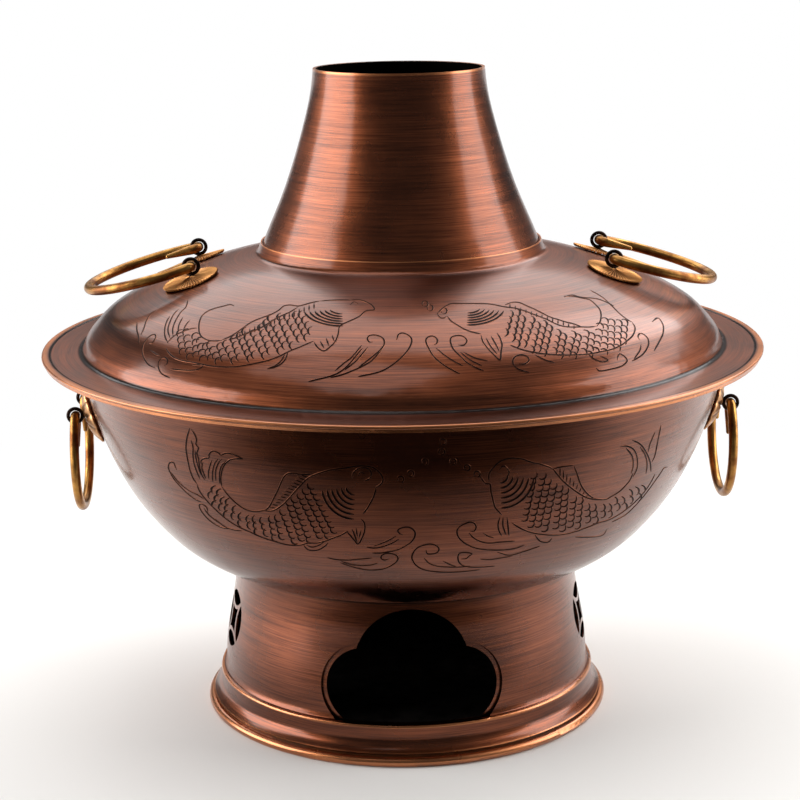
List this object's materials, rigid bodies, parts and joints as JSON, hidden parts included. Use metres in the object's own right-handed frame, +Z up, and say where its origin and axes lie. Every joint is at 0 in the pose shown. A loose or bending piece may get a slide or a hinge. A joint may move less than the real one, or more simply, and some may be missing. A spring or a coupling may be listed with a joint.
{
  "type": "chimney hot pot",
  "caption": "Round charcoal hot pot with a flared chimney through its lift-off domed lid, a deep bowl, drop ring handles and a cloud-shaped ash door in the foot.",
  "frame": {"origin": "centre of the foot on the standing plane", "axes": "+Z up along the chimney, the ash door faces -Y, ring handles on +X and -X"},
  "size_m": [0.36, 0.36, 0.324],
  "materials": {
    "copper": "antique copper, brushed round with a dark patina",
    "brass": "antique brass, rubbed bright on the ridges",
    "steel": "blackened wire",
    "iron": "sooted iron"
  },
  "bodies": {
    "pot": {"base_skirt": "copper", "foot_wire": "iron", "door_liner": "copper", "ash_floor": "iron", "bowl": "copper", "chimney": "copper", "grate_ledge": "iron", "fire_grate": "iron", "bowl_eye_right_front": "steel", "bowl_eye_right_back": "steel", "bowl_eye_left_front": "steel", "bowl_eye_left_back": "steel", "bowl_plate_right_front": "brass", "bowl_plate_right_back": "brass", "bowl_plate_left_front": "brass", "bowl_plate_left_back": "brass"},
    "lid": {"lid_shell": "copper", "lid_eye_right_front": "steel", "lid_eye_right_back": "steel", "lid_eye_left_front": "steel", "lid_eye_left_back": "steel", "lid_rosette_right_front": "brass", "lid_rosette_right_back": "brass", "lid_rosette_left_front": "brass", "lid_rosette_left_back": "brass"},
    "lid_ring_right_body": {"lid_ring_right": "brass"},
    "lid_ring_left_body": {"lid_ring_left": "brass"},
    "bowl_ring_right_body": {"bowl_ring_right": "brass"},
    "bowl_ring_left_body": {"bowl_ring_left": "brass"}
  },
  "joints": [
    {"name": "lid_lift", "type": "slide", "parent": "pot", "child": "lid", "axis": [0, 0, 1], "range_m": [0, 0.16]},
    {"name": "lid_ring_right_swing", "type": "hinge", "parent": "lid", "child": "lid_ring_right_body", "pos_m": [0.103, 0, 0.23204], "axis": [0, -1, 0], "range_deg": [-12, 148]},
    {"name": "bowl_ring_right_swing", "type": "hinge", "parent": "pot", "child": "bowl_ring_right_body", "pos_m": [0.16385, 0, 0.1562], "axis": [0, -1, 0], "range_deg": [-31, 150]},
    {"name": "lid_ring_left_swing", "type": "hinge", "parent": "lid", "child": "lid_ring_left_body", "pos_m": [-0.103, 0, 0.23204], "axis": [0, 1, 0], "range_deg": [-12, 148]},
    {"name": "bowl_ring_left_swing", "type": "hinge", "parent": "pot", "child": "bowl_ring_left_body", "pos_m": [-0.16385, 0, 0.1562], "axis": [0, 1, 0], "range_deg": [-31, 150]}
  ]
}
